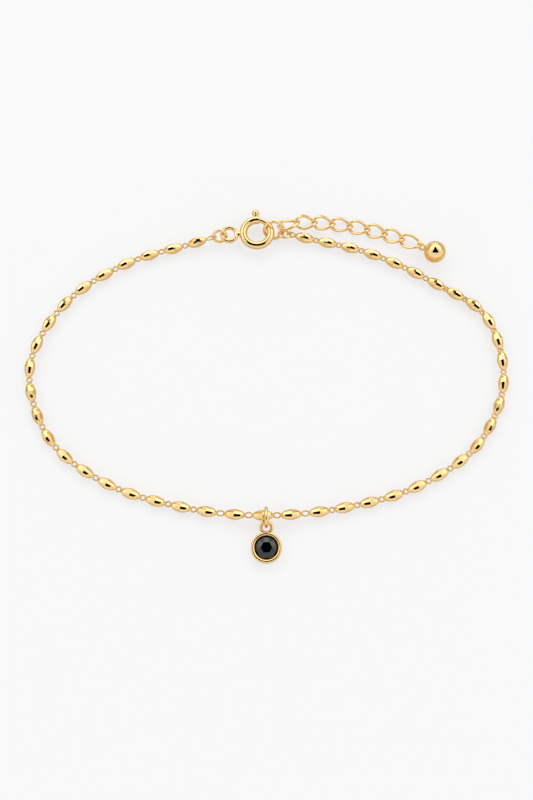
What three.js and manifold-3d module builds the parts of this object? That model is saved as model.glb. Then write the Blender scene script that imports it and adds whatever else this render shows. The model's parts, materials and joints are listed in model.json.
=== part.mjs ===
// A charm anklet that lies on a table: a chain of spindle beads, a spring ring clasp, an extender chain with
// a ball, and a round stone charm. Lengths are in millimetres and angles in degrees. +Z is up and the charm
// lies towards -Y. Everything is drawn from the middle of the clasp, and the last lines set the origin.
import * as THREE from "three";
import { mergeVertices } from "three/addons/utils/BufferGeometryUtils.js";
import { ConvexGeometry } from "three/addons/geometries/ConvexGeometry.js";
import Module from "manifold-3d";

// Beads of the chain
const beadCount = 46;
const leftBeadCount = 23;
const beadLength = 3.86;
const beadDiameter = 2.04;
const beadTipDiameter = 0.42;
const beadSides = 10;

// Rows of a bead from its middle to its tip, as shares of its half length, and of the way from the tip's
// radius to the middle's radius
const beadRows = [
  { along: 0, out: 1 },
  { along: 0.56, out: 0.74 },
  { along: 1, out: 0 },
];

// Small rings between the beads
const smallRingDiameter = 1.22;
const smallWire = 0.3;
const smallRingSeat = 0.02;
const smallPlay = 0.12;
const ringSegments = 10;
const wireSides = 5;
const meetingEyeWire = 0.26;
const meetingEyeHole = 0.62;

// Route of the chain on the table from the clasp's left side round the front to its right side, from the
// middle of the clasp. Its two ends are worked out from the rings that they hang on.
const route = [
  [-25.05, -6.05],
  [-36.8, -14.45],
  [-42.65, -26.9],
  [-38.25, -40.65],
  [-27.6, -48.85],
  [-13.9, -53.2],
  [1.05, -54.9],
  [16.15, -53.35],
  [29.6, -49.4],
  [40.95, -41.55],
  [46.25, -29.6],
  [43.7, -16.95],
  [34.55, -10.35],
  [22.15, -4.1],
];

// How far the first and the last bead's middles lie from the wires of the end rings
const leftLead = 3.3;
const rightLead = 2.9;

// Spacing of the beads from the left end to the right one: numbers of gaps, and their pitch as a share of
// the left side's. The front is pulled taut and the right side lies loose.
const spacing = [
  { gaps: 19, share: 1 },
  { gaps: 4, share: 1.08 },
  { gaps: 6, share: 0.98 },
  { gaps: 5, share: 0.93 },
  { gaps: 5, share: 0.87 },
  { gaps: 6, share: 0.95 },
];

// Spring ring clasp
const claspDiameter = 6.8;
const claspTubeDiameter = 1.48;
const claspTubeWall = 0.14;
const claspSides = 8;
const claspTubeSteps = 16;
const claspHeight = 1.72;
const claspBoreRunOut = 3;
const claspGapStart = 40;
const claspGapEnd = 80;
const boltClearance = 0.13;
const boltTip = 34;
const boltRear = 134;
const boltSteps = 9;
const knobAngle = 94;
const knobTravel = 46;
const knobDiameter = 1.44;
const knobNeckDiameter = 0.8;
const slotClearance = 0.09;
const slotSpareAngle = 2;

// The clasp's soldered eye
const eyeDiameter = 3.56;
const eyeWire = 0.76;
const eyeAngle = 184;
const eyeGap = 0.2;
const eyeBridgeDiameter = 1.3;
const eyeBridgeRoot = 0.37;

// Rings at the ends of the chain
const endWire = 0.56;
const endRingSegments = 14;
const linkPlay = 0.1;
const leftEndRingDiameter = 3.06;
const leftEndRingRoll = 56;
const leftEndRingHeight = 1.72;
const leftEndAngle = 190;
const rightEndRingDiameter = 2.74;
const rightEndRingRoll = -28;
const rightEndRingHeight = 1.28;
const rightEndAngle = -8;

// Tag ring that the clasp holds, and where the chain and the extender hang on it
const tagRingDiameter = 4.28;
const tagRingTilt = 56;
const tagRingPlace = { x: 3.28, y: 0.51, z: 1.84 };
const tagChainTurn = -32;
const tagExtenderTurn = 37;
const tagExtenderPlay = 0.23;

// Extender chain
const extenderLength = 4.78;
const extenderWidth = 3.06;
const extenderWire = 0.53;
const extenderSegments = 12;
const extenderPlay = 0.24;
const extenderRest = 0.78;

// Links of the extender from the tag ring to the ball: the way each one points, how far its outer end lies
// above the height of a link at rest, its roll about its length, and how far each end is twisted from that
const extenderRows = [
  { points: 20, endRise: 1.04, roll: -30, twist: 22 },
  { points: 5, endRise: 0.33, roll: 0, twist: 50 },
  { points: -3, endRise: 0, roll: 0, twist: 50 },
  { points: -8, endRise: 0, roll: 0, twist: 50 },
  { points: -12, endRise: 0, roll: 0, twist: 50 },
  { points: -15, endRise: 0, roll: 0, twist: 50 },
  { points: -19, endRise: 0.08, roll: 0, twist: 50 },
  { points: -24, endRise: 0.5, roll: 0, twist: 37 },
];

// Ball at the extender's end
const ballDiameter = 4.14;
const ballSides = 12;
const ballBands = 10;
const ballEyeDiameter = 1.9;
const ballEyeWire = 0.39;
const ballEyeSunk = 0.1;
const ballEyeRoll = 71;
const ballHeading = -31;

// Charm: jump ring, bezel with its loop, and stone
const charmRingDiameter = 3.92;
const charmRingWire = 0.66;
const charmRingSegments = 16;
const charmBead = 21;
const charmRingOffset = 0.6;
const charmSlip = 0.05;
const loopDiameter = 2.6;
const loopWire = 0.62;
const loopHeight = 1.55;
const bezelDiameter = 5.56;
const bezelHeight = 1.9;
const bezelWall = 0.58;
const bezelEdge = 0.3;
const bezelFloor = 0.4;
const bezelSides = 24;
const bezelGrip = 0.2;
const stoneClearance = 0.1;
const stoneSunk = 0.45;
const stoneCrown = 0.6;
const stoneGirdle = 0.2;

// Levels of the stone as shares of its radius and of its crown's height. Each level has six pairs of corners,
// a number of degrees to either side of the middle of a main facet.
const stoneRows = [
  { level: "table", out: 0.51, rise: 1, spread: 30 },
  { level: "shoulder", out: 0.86, rise: 0.42, spread: 10 },
  { level: "girdle", out: 1, rise: 0, spread: 15 },
];
const stoneMainFacets = 6;
const stoneBackOut = 0.4;

// Lengths of the rises in the chain beside the charm's ring and at the clasp
const charmRiseLength = 14;
const endRiseLength = 7;

const routeDivisions = 2000;
const weldDistance = 1e-4;

const wasm = await Module();
wasm.setup();

const gold = { color: 0xe3b052, roughness: 0.16, metalness: 1 };
const blackStone = { color: 0x0b0b0d, roughness: 0.05, metalness: 0 };

const radians = THREE.MathUtils.degToRad;
const up = new THREE.Vector3(0, 0, 1);

// A closed geometry as a manifold solid
function solidOf(geometry) {
  const bare = geometry.clone();
  bare.deleteAttribute("normal");
  bare.deleteAttribute("uv");
  const merged = mergeVertices(bare, weldDistance);
  return new wasm.Manifold(
    new wasm.Mesh({
      numProp: 3,
      vertProperties: new Float32Array(merged.attributes.position.array),
      triVerts: new Uint32Array(merged.index.array),
    }),
  );
}

// A manifold solid as a geometry
function geometryOf(solid) {
  const made = solid.getMesh();
  const geometry = new THREE.BufferGeometry();
  geometry.setAttribute("position", new THREE.BufferAttribute(made.vertProperties, 3));
  geometry.setIndex(new THREE.BufferAttribute(made.triVerts, 1));
  geometry.computeVertexNormals();
  return geometry;
}

// All of the given geometries joined as one solid
function joined(geometries) {
  return geometries.map(solidOf).reduce((whole, next) => whole.add(next));
}

// A named mesh with a material of its own
function meshOf(name, geometry, look) {
  const mesh = new THREE.Mesh(geometry, new THREE.MeshStandardMaterial(look));
  mesh.name = name;
  return mesh;
}

// A unit direction in the table's plane, raised by a slope angle
function heading(angle, slope = 0) {
  const flat = Math.cos(radians(slope));
  return new THREE.Vector3(
    flat * Math.cos(radians(angle)),
    flat * Math.sin(radians(angle)),
    Math.sin(radians(slope)),
  );
}

// Moves a geometry drawn along +X to a point and turns it along a direction, rolled about that direction
function placed(geometry, point, direction, roll = 0) {
  const along = direction.clone().normalize();
  const side = new THREE.Vector3().crossVectors(up, along).normalize();
  const top = new THREE.Vector3().crossVectors(along, side);
  const frame = new THREE.Matrix4().makeBasis(along, side, top).setPosition(point);
  const turned = new THREE.Matrix4().makeRotationX(radians(roll));
  return geometry.clone().applyMatrix4(frame.multiply(turned));
}

// A flat ring of round wire from its outer diameter
function ringGeometry(outerDiameter, wire, segments) {
  return new THREE.TorusGeometry((outerDiameter - wire) / 2, wire / 2, wireSides, segments);
}

// Distance between the middles of two linked rings when a pull leaves a little play
function linkedDistance(firstReach, firstWire, secondReach, secondWire) {
  return firstReach - firstWire / 2 + secondReach - secondWire / 2 - linkPlay;
}

// An arc of a circle in the XY plane about the origin
class ArcPath extends THREE.Curve {
  constructor(radius, startAngle, endAngle) {
    super();
    this.radius = radius;
    this.startAngle = startAngle;
    this.endAngle = endAngle;
  }

  getPoint(share, target = new THREE.Vector3()) {
    const angle = radians(this.startAngle + share * (this.endAngle - this.startAngle));
    return target.set(this.radius * Math.cos(angle), this.radius * Math.sin(angle), 0);
  }
}

// The middle line of a link: an oval whose two ends are twisted opposite ways about its length
class TwistedOval extends THREE.Curve {
  constructor(reach, halfWidth, endTwist) {
    super();
    this.reach = reach;
    this.halfWidth = halfWidth;
    this.endTwist = endTwist;
  }

  getPoint(share, target = new THREE.Vector3()) {
    const turn = 2 * Math.PI * share;
    const across = this.halfWidth * Math.sin(turn);
    const twist = -radians(this.endTwist) * Math.cos(turn);
    return target.set(
      this.reach * Math.cos(turn),
      across * Math.cos(twist),
      across * Math.sin(twist),
    );
  }
}

// A round rod bent along an arc, with flat ends
function bentRod(radius, path, steps) {
  const outline = [];
  for (let side = 0; side < claspSides; side += 1) {
    const angle = (2 * Math.PI * (side + 0.5)) / claspSides;
    outline.push(new THREE.Vector2(radius * Math.cos(angle), radius * Math.sin(angle)));
  }
  return new THREE.ExtrudeGeometry(new THREE.Shape(outline), { steps, extrudePath: path });
}

// A spindle bead along X
function beadGeometry() {
  const tip = beadTipDiameter / 2;
  const swell = beadDiameter / 2 - tip;
  const half = beadRows.map((row) => ({
    x: (row.along * beadLength) / 2,
    r: tip + row.out * swell,
  }));
  const other = half.slice(1).reverse();
  const rows = [...other.map((row) => ({ x: -row.x, r: row.r })), ...half];
  const profile = rows.map((row) => new THREE.Vector2(row.r, row.x));
  const closed = [
    new THREE.Vector2(0, -beadLength / 2),
    ...profile,
    new THREE.Vector2(0, beadLength / 2),
  ];
  return new THREE.LatheGeometry(closed, beadSides).rotateZ(-Math.PI / 2);
}

// The radius of a bead at a distance from its middle
function beadRadiusAt(distance) {
  const tip = beadTipDiameter / 2;
  const share = Math.abs(distance) / (beadLength / 2);
  const next = beadRows.findIndex((row) => row.along >= share);
  const upper = beadRows[Math.max(next, 1)];
  const lower = beadRows[Math.max(next, 1) - 1];
  const part = (share - lower.along) / (upper.along - lower.along);
  const out = lower.out + part * (upper.out - lower.out);
  return tip + out * (beadDiameter / 2 - tip);
}

// Clasp sizes that several pieces share
const claspRadius = (claspDiameter - claspTubeDiameter) / 2;
const tubeInnerRadius = claspTubeDiameter / 2 - claspTubeWall;
const boltRadius = tubeInnerRadius - boltClearance;
const claspMiddle = new THREE.Vector3(0, 0, claspHeight);
const eyeReach = (eyeDiameter - eyeWire) / 2;
const eyeMiddle = heading(eyeAngle)
  .multiplyScalar(claspDiameter / 2 + eyeGap + eyeDiameter / 2)
  .add(claspMiddle);

// The clasp's hollow tube with its soldered eye and the slot that the knob slides in
function claspTubeSolid() {
  const whole = new ArcPath(claspRadius, claspGapEnd, claspGapStart + 360);
  const bore = new ArcPath(
    claspRadius,
    claspGapEnd - claspBoreRunOut,
    claspGapStart + 360 + claspBoreRunOut,
  );
  const tube = solidOf(bentRod(claspTubeDiameter / 2, whole, claspTubeSteps));
  const hollow = solidOf(bentRod(tubeInnerRadius, bore, claspTubeSteps));
  const eye = solidOf(
    placed(
      ringGeometry(eyeDiameter, eyeWire, endRingSegments),
      eyeMiddle.clone().sub(claspMiddle),
      heading(eyeAngle),
    ),
  );
  const bridgeLength = eyeBridgeRoot + eyeGap + eyeWire / 2;
  const bridge = solidOf(
    placed(
      new THREE.CylinderGeometry(
        eyeBridgeDiameter / 2,
        eyeBridgeDiameter / 2,
        bridgeLength,
        claspSides,
      ).rotateZ(-Math.PI / 2),
      heading(eyeAngle).multiplyScalar(claspDiameter / 2 - eyeBridgeRoot + bridgeLength / 2),
      heading(eyeAngle),
    ),
  );
  return tube.add(eye).add(bridge).subtract(hollow).subtract(slotSolid());
}

// The cut for the knob's neck: a band along the outer side of the tube
function slotSolid() {
  const neckHalfAngle = THREE.MathUtils.radToDeg(knobNeckDiameter / 2 / (claspDiameter / 2));
  const start = radians(knobAngle - neckHalfAngle - slotSpareAngle);
  const end = radians(knobAngle + knobTravel + neckHalfAngle + slotSpareAngle);
  const outer = claspDiameter / 2 + claspTubeWall;
  const height = knobNeckDiameter + 2 * slotClearance;
  const band = new THREE.Shape();
  band.absarc(0, 0, outer, start, end, false);
  band.absarc(0, 0, claspRadius, end, start, true);
  const cut = new THREE.ExtrudeGeometry(band, {
    depth: height,
    bevelEnabled: false,
    curveSegments: boltSteps,
  });
  return solidOf(cut.translate(0, 0, -height / 2));
}

// The clasp's sliding wire with the neck and the round knob
function claspBoltSolid() {
  const wire = bentRod(boltRadius, new ArcPath(claspRadius, boltTip, boltRear), boltSteps);
  const outward = heading(knobAngle);
  const knobReach = claspDiameter / 2 + knobDiameter / 2;
  const neck = new THREE.CylinderGeometry(
    knobNeckDiameter / 2,
    knobNeckDiameter / 2,
    knobReach - claspRadius,
    claspSides,
  ).rotateZ(-Math.PI / 2);
  const knob = new THREE.SphereGeometry(knobDiameter / 2, ringSegments, claspSides);
  return joined([
    wire,
    placed(neck, outward.clone().multiplyScalar((claspRadius + knobReach) / 2), outward),
    knob.translate(knobReach * outward.x, knobReach * outward.y, 0),
  ]);
}

// Rings between the clasp and the two ends of the chain
const leftEndReach = (leftEndRingDiameter - endWire) / 2;
const leftEndDirection = heading(leftEndAngle);
const leftEndMiddle = leftEndDirection
  .clone()
  .multiplyScalar(linkedDistance(eyeReach, eyeWire, leftEndReach, endWire))
  .add(eyeMiddle)
  .setZ(leftEndRingHeight);
const tagReach = (tagRingDiameter - endWire) / 2;
const tagMiddle = new THREE.Vector3(tagRingPlace.x, tagRingPlace.y, tagRingPlace.z);
const rightEndReach = (rightEndRingDiameter - endWire) / 2;
const rightEndDirection = heading(rightEndAngle);
const rightEndMiddle = rightEndDirection
  .clone()
  .multiplyScalar(rightEndReach)
  .add(insideTag(tagChainTurn, endWire, linkPlay))
  .setZ(rightEndRingHeight);

// Where the middle of a wire lies when it pulls on the inner side of the tag ring
function insideTag(turn, wire, play) {
  const reach = tagReach - endWire / 2 - wire / 2 - play;
  const across = reach * Math.sin(radians(turn));
  return new THREE.Vector3(
    reach * Math.cos(radians(turn)),
    across * Math.cos(radians(tagRingTilt)),
    across * Math.sin(radians(tagRingTilt)),
  ).add(tagMiddle);
}

// The chain's route starts and ends on the wires of the two end rings
const routeStart = leftEndDirection.clone().multiplyScalar(leftEndReach).add(leftEndMiddle);
const routeEnd = rightEndDirection.clone().multiplyScalar(rightEndReach).add(rightEndMiddle);
const routePoints = [
  routeStart.clone().setZ(0),
  ...route.map(([x, y]) => new THREE.Vector3(x, y, 0)),
  routeEnd.clone().setZ(0),
];
const routeCurve = new THREE.CatmullRomCurve3(routePoints, false, "centripetal");
routeCurve.arcLengthDivisions = routeDivisions;
const routeLength = routeCurve.getLength();

// The beads share out what the two leads leave of the route
const shares = spacing.flatMap((row) => Array(row.gaps).fill(row.share));
const shareTotal = shares.reduce((sum, share) => sum + share, 0);
const fullPitch = (routeLength - leftLead - rightLead) / shareTotal;

// Distance of a bead's middle along the route
function beadDistance(index) {
  const passed = shares.slice(0, index).reduce((sum, share) => sum + share, 0);
  return leftLead + passed * fullPitch;
}

const charmDistance = beadDistance(charmBead) + charmRingOffset;
const charmRise = (charmRingDiameter - beadDiameter) / 2;
const leftRise = leftEndRingHeight - beadDiameter / 2;
const rightRise = rightEndRingHeight - beadDiameter / 2;

// A smooth rise from 0 at its foot to 1 at its peak
function swell(distance, length) {
  const share = Math.min(Math.abs(distance) / length, 1);
  return Math.cos((Math.PI / 2) * share) ** 2;
}

// A point of the chain's middle line, with the rises at the charm's ring and at the clasp
function chainPoint(distance) {
  const lift =
    charmRise * swell(distance - charmDistance, charmRiseLength) +
    leftRise * swell(distance, endRiseLength) +
    rightRise * swell(distance - routeLength, endRiseLength);
  const share = THREE.MathUtils.clamp(distance / routeLength, 0, 1);
  return routeCurve.getPointAt(share).setZ(beadDiameter / 2 + lift);
}

// The chain's direction at a distance along it
function chainDirection(distance) {
  const step = beadLength / 4;
  return chainPoint(distance + step).sub(chainPoint(distance - step)).normalize();
}

const beadShape = beadGeometry();
const smallReach = (smallRingDiameter - smallWire) / 2;

// A small ring along X, which is an oval where its reach and its half width differ
function smallRing(reach, halfWidth) {
  const middleLine = new TwistedOval(reach, halfWidth, 0);
  return new THREE.TubeGeometry(middleLine, ringSegments, smallWire / 2, wireSides, true);
}

// A bead of the chain
function beadAt(index) {
  const middle = beadDistance(index);
  return placed(beadShape, chainPoint(middle), chainDirection(middle));
}

// Half the length that the small ring after a bead needs to reach into both beads' tips
function reachAfter(index) {
  const gap = beadDistance(index + 1) - beadDistance(index) - beadLength;
  return Math.max(gap / 2 + smallRingSeat, smallReach);
}

// The small ring between a bead and the next one
function ringAfter(index) {
  const between = (beadDistance(index) + beadDistance(index + 1)) / 2;
  const ring = smallRing(reachAfter(index), smallReach);
  return placed(ring, chainPoint(between), chainDirection(between));
}

// The long small ring from an end ring's wire, at one end of the route, to the nearest bead's tip
function endRing(end, lead, way, roll) {
  const hold = (endWire + smallWire) / 2 + smallPlay;
  const tip = lead - beadLength / 2 + smallRingSeat;
  const middle = end + (way * (tip - hold)) / 2;
  const ring = smallRing((tip + hold) / 2, hold);
  return placed(ring, chainPoint(middle), chainDirection(middle), roll);
}

// The left half of the chain, with the rings at both of its ends
function chainLeftSolid() {
  const pieces = [endRing(0, leftLead, 1, 90 - leftEndRingRoll)];
  for (let index = 0; index < leftBeadCount; index += 1) {
    pieces.push(beadAt(index), ringAfter(index));
  }
  return joined(pieces);
}

// The right half of the chain: an eye on its first bead holds the last ring of the left half
function chainRightSolid() {
  const first = beadDistance(leftBeadCount);
  const before = beadDistance(leftBeadCount - 1);
  const eyeDistance = (first + before) / 2 + reachAfter(leftBeadCount - 1);
  const eyeRing = ringGeometry(
    meetingEyeHole + 2 * meetingEyeWire,
    meetingEyeWire,
    ringSegments,
  );
  const drill = new THREE.CylinderGeometry(
    meetingEyeHole / 2,
    meetingEyeHole / 2,
    beadDiameter,
    ringSegments,
  );
  const eyePoint = chainPoint(eyeDistance);
  const eyeDirection = chainDirection(first);
  const firstBead = solidOf(beadAt(leftBeadCount))
    .subtract(solidOf(placed(drill, eyePoint, eyeDirection)))
    .subtract(tipSolid(eyePoint, eyeDirection))
    .add(solidOf(placed(eyeRing, eyePoint, eyeDirection, 90)));
  const pieces = [endRing(routeLength, rightLead, -1, 90 - rightEndRingRoll)];
  for (let index = leftBeadCount + 1; index < beadCount; index += 1) {
    pieces.push(ringAfter(index - 1), beadAt(index));
  }
  return joined(pieces).add(firstBead);
}

// The end of a bead's tip past the middle of its eye, which is cut away
function tipSolid(eyePoint, direction) {
  const block = new THREE.BoxGeometry(beadDiameter, beadDiameter, beadDiameter);
  block.translate(-beadDiameter / 2, 0, 0);
  return solidOf(placed(block, eyePoint, direction));
}

// Extender chain: the pitch at which its links pull on each other with a little play
const extenderReach = (extenderLength - extenderWire) / 2;
const extenderPitch = 2 * extenderReach - extenderWire - extenderPlay;

// Each link's far joint follows from the joint before it
function extenderLayout() {
  const start = insideTag(tagExtenderTurn, extenderWire, tagExtenderPlay);
  const lead = extenderReach - extenderPitch / 2;
  const joint = heading(extenderRows[0].points).multiplyScalar(lead).add(start);
  return extenderRows.map((row) => {
    const next = heading(row.points).multiplyScalar(extenderPitch).add(joint);
    next.setZ(extenderRest + row.endRise);
    const middle = joint.clone().add(next).multiplyScalar(0.5);
    const direction = next.clone().sub(joint).normalize();
    joint.copy(next);
    return { middle, direction, roll: row.roll, twist: row.twist };
  });
}

// A link of the extender along X
function linkGeometry(endTwist) {
  const halfWidth = (extenderWidth - extenderWire) / 2;
  const middleLine = new TwistedOval(extenderReach, halfWidth, endTwist);
  return new THREE.TubeGeometry(middleLine, extenderSegments, extenderWire / 2, wireSides, true);
}

// Ball and its soldered eye, which the last link passes through
function extenderBallSolid(lastLink) {
  const eyeReachOut = (ballEyeDiameter - ballEyeWire) / 2;
  const linkEnd = extenderReach - extenderWire / 2 - linkPlay;
  const level = heading(ballHeading);
  const eye = lastLink.direction
    .clone()
    .multiplyScalar(linkEnd - ballEyeWire / 2)
    .add(lastLink.middle)
    .addScaledVector(level, eyeReachOut);
  const apart = (ballDiameter + ballEyeDiameter) / 2 - ballEyeSunk;
  const dip = THREE.MathUtils.radToDeg(Math.asin((ballDiameter / 2 - eye.z) / apart));
  const toBall = heading(ballHeading, dip);
  const ball = new THREE.SphereGeometry(ballDiameter / 2, ballSides, ballBands);
  const ballMiddle = toBall.clone().multiplyScalar(apart).add(eye);
  return joined([
    placed(ringGeometry(ballEyeDiameter, ballEyeWire, ringSegments), eye, toBall, ballEyeRoll),
    ball.rotateX(Math.PI / 2).translate(ballMiddle.x, ballMiddle.y, ballMiddle.z),
  ]);
}

// Charm: the ring stands round the bead, the loop lies in the ring, and the bezel lies flat on the table
const charmBeadPoint = chainPoint(charmDistance);
const charmOutward = new THREE.Vector3().crossVectors(chainDirection(charmDistance), up).normalize();
const charmRingInner = (charmRingDiameter / 2 - charmRingWire) * Math.cos(Math.PI / charmRingSegments);
const charmRingMiddle = charmBeadPoint
  .clone()
  .addScaledVector(charmOutward, charmRingInner - beadRadiusAt(charmRingOffset) - charmSlip)
  .setZ(charmRingDiameter / 2);
const loopReach = (loopDiameter - loopWire) / 2;
const loopHold = charmRingInner - loopWire / 2 - charmSlip;
const loopDrop = loopHeight - charmRingDiameter / 2;
const loopMiddle = charmRingMiddle
  .clone()
  .addScaledVector(charmOutward, Math.sqrt(loopHold ** 2 - loopDrop ** 2) + loopReach)
  .setZ(loopHeight);
const bezelMiddle = loopMiddle
  .clone()
  .addScaledVector(charmOutward, loopReach + bezelDiameter / 2 - bezelGrip)
  .setZ(0);

// Bezel cup and its loop
function charmSettingSolid() {
  const outer = bezelDiameter / 2;
  const inner = outer - bezelWall;
  const profile = [
    [0, 0],
    [outer - bezelEdge, 0],
    [outer, bezelEdge],
    [outer, bezelHeight - bezelEdge],
    [outer - bezelEdge, bezelHeight],
    [inner, bezelHeight],
    [inner, bezelFloor],
    [0, bezelFloor],
  ];
  const cup = new THREE.LatheGeometry(
    profile.map(([r, z]) => new THREE.Vector2(r, z)),
    bezelSides,
  );
  return joined([
    placed(cup.rotateX(Math.PI / 2), bezelMiddle, charmOutward),
    placed(ringGeometry(loopDiameter, loopWire, endRingSegments), loopMiddle, charmOutward),
  ]);
}

// Faceted stone: a six-sided table, six main facets, and a ring of small facets round the girdle
function charmStoneSolid() {
  const radius = bezelDiameter / 2 - bezelWall - stoneClearance;
  const girdleTop = bezelHeight - stoneSunk;
  const girdleRow = stoneRows.find((row) => row.level === "girdle");
  const corners = [];
  for (let facet = 0; facet < stoneMainFacets; facet += 1) {
    const middle = (360 / stoneMainFacets) * facet;
    for (const side of [-1, 1]) {
      for (const row of stoneRows) {
        corners.push(
          heading(middle + side * row.spread)
            .multiplyScalar(row.out * radius)
            .setZ(girdleTop + row.rise * stoneCrown),
        );
      }
      const low = heading(middle + side * girdleRow.spread);
      corners.push(low.clone().multiplyScalar(radius).setZ(girdleTop - stoneGirdle));
      corners.push(low.multiplyScalar(radius * stoneBackOut).setZ(bezelFloor + stoneClearance));
    }
  }
  return solidOf(placed(new ConvexGeometry(corners), bezelMiddle, charmOutward));
}

// The anklet
const root = new THREE.Group();
const anklet = new THREE.Group();
root.add(anklet);

anklet.add(meshOf("chain_left", geometryOf(chainLeftSolid()), gold));
anklet.add(meshOf("chain_right", geometryOf(chainRightSolid()), gold));

const clasp = new THREE.Group();
clasp.position.copy(claspMiddle);
clasp.add(meshOf("clasp_tube", geometryOf(claspTubeSolid()), gold));
clasp.add(meshOf("clasp_bolt", geometryOf(claspBoltSolid()), gold));
anklet.add(clasp);

const leftEndRing = ringGeometry(leftEndRingDiameter, endWire, endRingSegments);
const rightEndRing = ringGeometry(rightEndRingDiameter, endWire, endRingSegments);
const tagRing = ringGeometry(tagRingDiameter, endWire, charmRingSegments);
const charmRing = ringGeometry(charmRingDiameter, charmRingWire, charmRingSegments);
anklet.add(
  meshOf(
    "left_end_ring",
    placed(leftEndRing, leftEndMiddle, leftEndDirection.clone().negate(), leftEndRingRoll),
    gold,
  ),
  meshOf(
    "right_end_ring",
    placed(rightEndRing, rightEndMiddle, rightEndDirection, rightEndRingRoll),
    gold,
  ),
  meshOf("tag_ring", placed(tagRing, tagMiddle, heading(0), tagRingTilt), gold),
  meshOf(
    "charm_ring",
    placed(charmRing, charmRingMiddle, charmOutward, 90),
    gold,
  ),
);

const layout = extenderLayout();
layout.forEach((place, index) => {
  const name = "extender_link_" + (index + 1);
  const link = linkGeometry(place.twist);
  anklet.add(meshOf(name, placed(link, place.middle, place.direction, place.roll), gold));
});
const ballSolid = extenderBallSolid(layout[layout.length - 1]);
anklet.add(meshOf("extender_ball", geometryOf(ballSolid), gold));

anklet.add(meshOf("charm_setting", geometryOf(charmSettingSolid()), gold));
anklet.add(meshOf("charm_stone", geometryOf(charmStoneSolid()), blackStone));

// The origin is the middle of the anklet's box at its lowest level
const box = new THREE.Box3().setFromObject(anklet, true);
const middle = box.getCenter(new THREE.Vector3());
anklet.position.set(-middle.x, -middle.y, -box.min.z);

export default root;
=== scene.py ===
"""A charm anklet that lies on a white table: a chain of diamond-cut spindle beads, a spring ring clasp, an
extender chain with a ball, and a round charm with a black stone. Sizes are written in millimetres and meshes
are made in metres, in the frame of the anklet: +Z is up, and the charm lies towards -Y."""

import json

import bmesh
import bpy
import numpy as np
from bpy.props import FloatProperty, FloatVectorProperty, IntProperty, PointerProperty
from bpy.types import Operator, Panel, PropertyGroup
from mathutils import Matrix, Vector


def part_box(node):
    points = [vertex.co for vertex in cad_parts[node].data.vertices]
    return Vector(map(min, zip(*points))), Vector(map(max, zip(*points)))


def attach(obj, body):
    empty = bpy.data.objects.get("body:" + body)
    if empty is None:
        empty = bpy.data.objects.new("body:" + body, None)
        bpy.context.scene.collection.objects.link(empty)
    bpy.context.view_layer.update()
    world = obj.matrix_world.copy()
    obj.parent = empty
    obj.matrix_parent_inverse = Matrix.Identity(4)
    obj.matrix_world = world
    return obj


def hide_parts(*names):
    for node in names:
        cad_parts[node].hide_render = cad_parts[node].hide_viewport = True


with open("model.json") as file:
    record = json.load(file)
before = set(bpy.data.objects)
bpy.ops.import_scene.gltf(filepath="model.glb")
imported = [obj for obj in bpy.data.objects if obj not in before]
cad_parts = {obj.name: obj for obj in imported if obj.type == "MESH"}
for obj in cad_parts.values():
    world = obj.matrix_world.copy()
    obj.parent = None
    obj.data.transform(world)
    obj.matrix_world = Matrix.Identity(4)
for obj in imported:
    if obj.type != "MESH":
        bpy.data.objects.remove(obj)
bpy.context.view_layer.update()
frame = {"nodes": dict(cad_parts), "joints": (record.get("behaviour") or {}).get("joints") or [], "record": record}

bl_info = {
    "name": "Charm anklet",
    "version": (1, 0, 0),
    "blender": (4, 5, 0),
    "location": "View3D > Sidebar > Anklet",
    "description": "Makes the fine surfaces, finishes and stage of a charm anklet",
    "category": "Add Mesh",
}

MM = 0.001

# Corners nearer than this, in millimetres, become one
SAME_PLACE = 0.0005

# The clasp's middle, which its bolt turns about, and the charm's back, in millimetres
CLASP = np.array(frame["joints"][0]["pos_m"]) / MM
CHARM_BACK = np.array(frame["record"]["mounts"][0]["pos_m"]) / MM

# Route of the chain from the clasp's middle, in millimetres, between its two end rings
ROUTE = [
    (-25.05, -6.05),
    (-36.8, -14.45),
    (-42.65, -26.9),
    (-38.25, -40.65),
    (-27.6, -48.85),
    (-13.9, -53.2),
    (1.05, -54.9),
    (16.15, -53.35),
    (29.6, -49.4),
    (40.95, -41.55),
    (46.25, -29.6),
    (43.7, -16.95),
    (34.55, -10.35),
    (22.15, -4.1),
]
ROUTE_STEPS = 160

# The chain's beads: how many hang on the left half, how far the first and last ones lie from the wires of the
# end rings, and numbers of gaps with their pitch as a share of the left side's
LEFT_BEADS = 23
LEFT_LEAD = 3.3
RIGHT_LEAD = 2.9
SPACING = [(19, 1), (4, 1.08), (6, 0.98), (5, 0.93), (5, 0.87), (6, 0.95)]

# The bead that the charm's ring goes round, how far past its middle the ring sits, and over what length the
# chain rises to that ring and to its end rings
CHARM_BEAD = 21
CHARM_RING_OFFSET = 0.6
CHARM_RISE_LENGTH = 14
END_RISE_LENGTH = 7

# Where round each end ring the chain holds it, and how far the long small ring there is rolled, in degrees
LEFT_END_ANGLE = 190
RIGHT_END_ANGLE = -8
LEFT_END_ROLL = 56
RIGHT_END_ROLL = -28

# Shares of a bead's half length at which its radius is worked out, closer together at the ridge and the tip
BEAD_SHARES = (0, 0.012, 0.05, 0.1, 0.17, 0.25, 0.34, 0.43, 0.52, 0.61, 0.69, 0.77, 0.84, 0.9, 0.95, 0.98, 1)

# The clasp's tube, its slot, its bolt and its eye, as angles round its middle in degrees, and the gap between
# the tube and the eye in millimetres
GAP_START = 40
GAP_END = 80
BOLT_TIP = 34
BOLT_REAR = 134
KNOB_ANGLE = 94
KNOB_TRAVEL = 46
SLOT_SPARE_ANGLE = 2
EYE_ANGLE = 184
EYE_GAP = 0.2

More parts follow.
